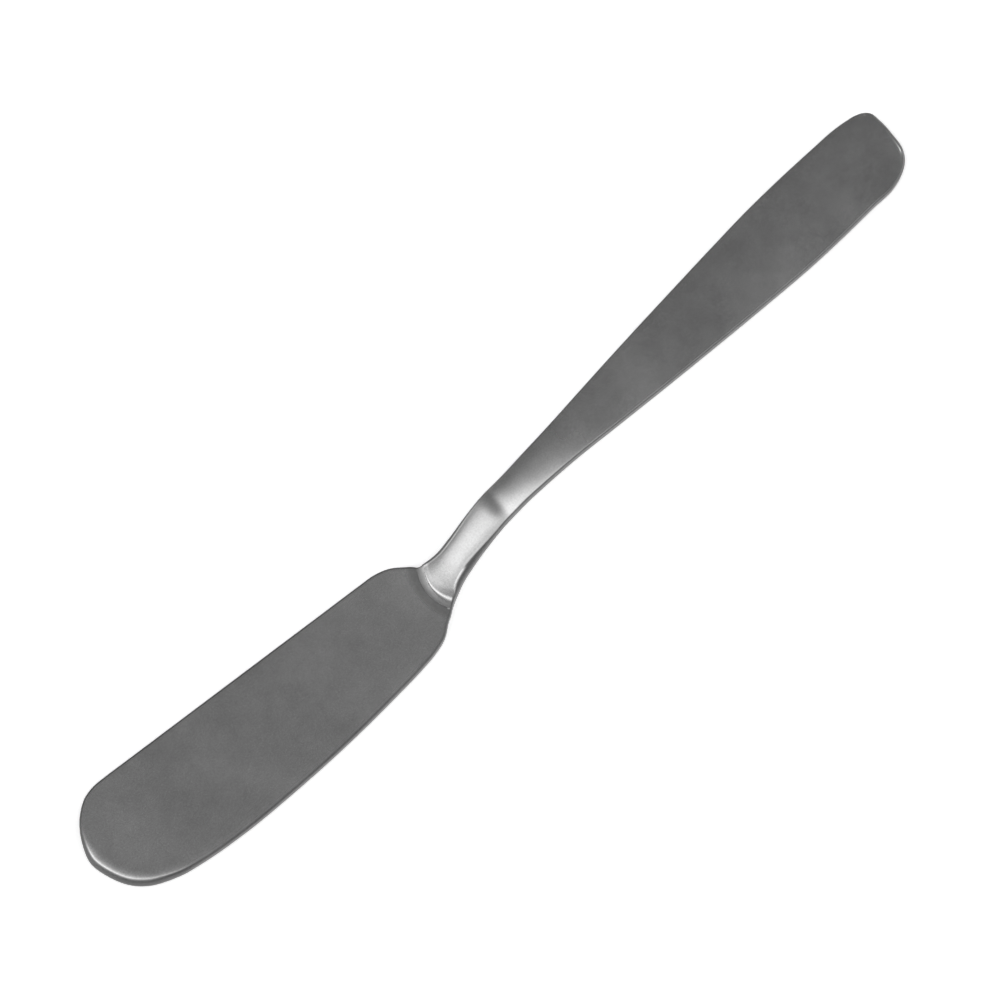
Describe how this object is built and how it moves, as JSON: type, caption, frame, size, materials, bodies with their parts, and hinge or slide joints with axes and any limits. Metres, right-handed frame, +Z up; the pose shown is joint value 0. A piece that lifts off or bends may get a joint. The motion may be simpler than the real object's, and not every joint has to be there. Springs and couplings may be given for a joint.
{
  "type": "butter knife",
  "caption": "One-piece butter knife with a blunt rounded blade, a raised shoulder, a cranked neck and a flat flared handle, in satin stainless steel.",
  "frame": {"origin": "on the table under the middle of the knife's outline", "axes": "+X along the handle, from the blade's tip to the handle's end; +Y across, towards the spine side; +Z up, away from the table"},
  "size_m": [0.17, 0.0222, 0.007],
  "materials": {
    "stainless": "satin stainless steel, fine grain, slightly mottled from polishing and use"
  },
  "bodies": {
    "root": {"knife": "stainless"}
  },
  "joints": []
}
